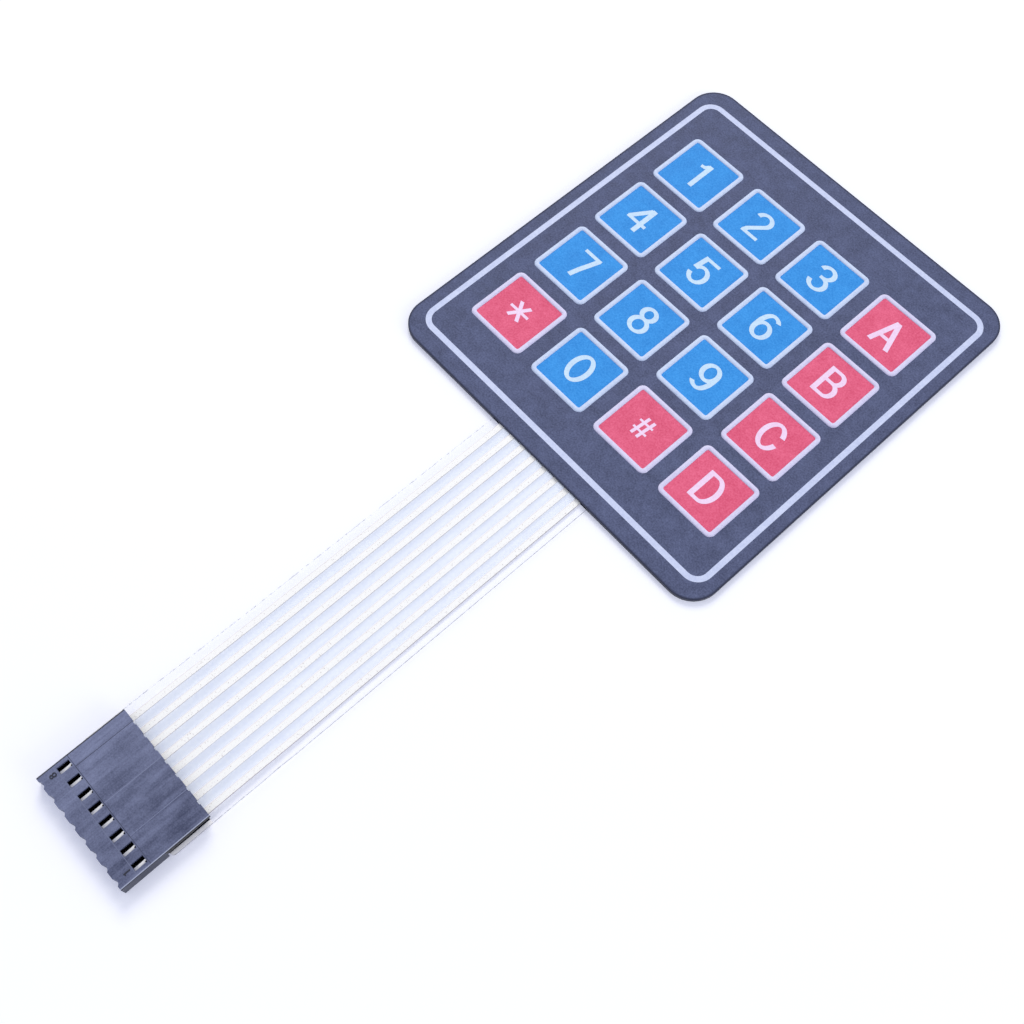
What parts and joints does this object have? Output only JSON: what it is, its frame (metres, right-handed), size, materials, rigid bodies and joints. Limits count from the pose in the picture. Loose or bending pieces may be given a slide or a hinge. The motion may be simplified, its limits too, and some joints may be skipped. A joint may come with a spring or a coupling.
{
  "type": "membrane keypad",
  "caption": "Flat membrane keypad with rim-embossed blue and red keys on a dark textured overlay, a flat film tail and a black crimped pin connector.",
  "frame": {"origin": "middle of the pad's back face, which is the back of the release liner", "axes": "+X along the rows of keys, +Y towards the first row and away from the tail, +Z out of the key face"},
  "size_m": [0.069, 0.1625, 0.0026],
  "materials": {
    "overlay_film": "fine velvet texture",
    "white_ink": "printed, fine texture",
    "blue_ink": "printed, fine texture",
    "red_ink": "printed, fine texture",
    "adhesive": "clear acrylic adhesive",
    "clear_film": "clear polyester film",
    "spacer_film": "clear bonded film",
    "silver_ink": "matte silver print",
    "liner_paper": "waxed white paper",
    "housing_plastic": "moulded, satin",
    "tinned_metal": "tin plated sheet"
  },
  "bodies": {
    "root": {"graphic_overlay": "overlay_film", "white_print": "white_ink", "blue_print": "blue_ink", "red_print": "red_ink", "overlay_adhesive": "adhesive", "upper_circuit_film": "clear_film", "row_conductor_1": "silver_ink", "row_conductor_2": "silver_ink", "row_conductor_3": "silver_ink", "row_conductor_4": "silver_ink", "spacer": "spacer_film", "column_conductor_1": "silver_ink", "column_conductor_2": "silver_ink", "column_conductor_3": "silver_ink", "column_conductor_4": "silver_ink", "lower_circuit_film": "clear_film", "rear_adhesive": "adhesive", "release_liner": "liner_paper", "connector_housing": "housing_plastic", "terminal_1": "tinned_metal", "terminal_2": "tinned_metal", "terminal_3": "tinned_metal", "terminal_4": "tinned_metal", "terminal_5": "tinned_metal", "terminal_6": "tinned_metal", "terminal_7": "tinned_metal", "terminal_8": "tinned_metal"}
  },
  "joints": []
}
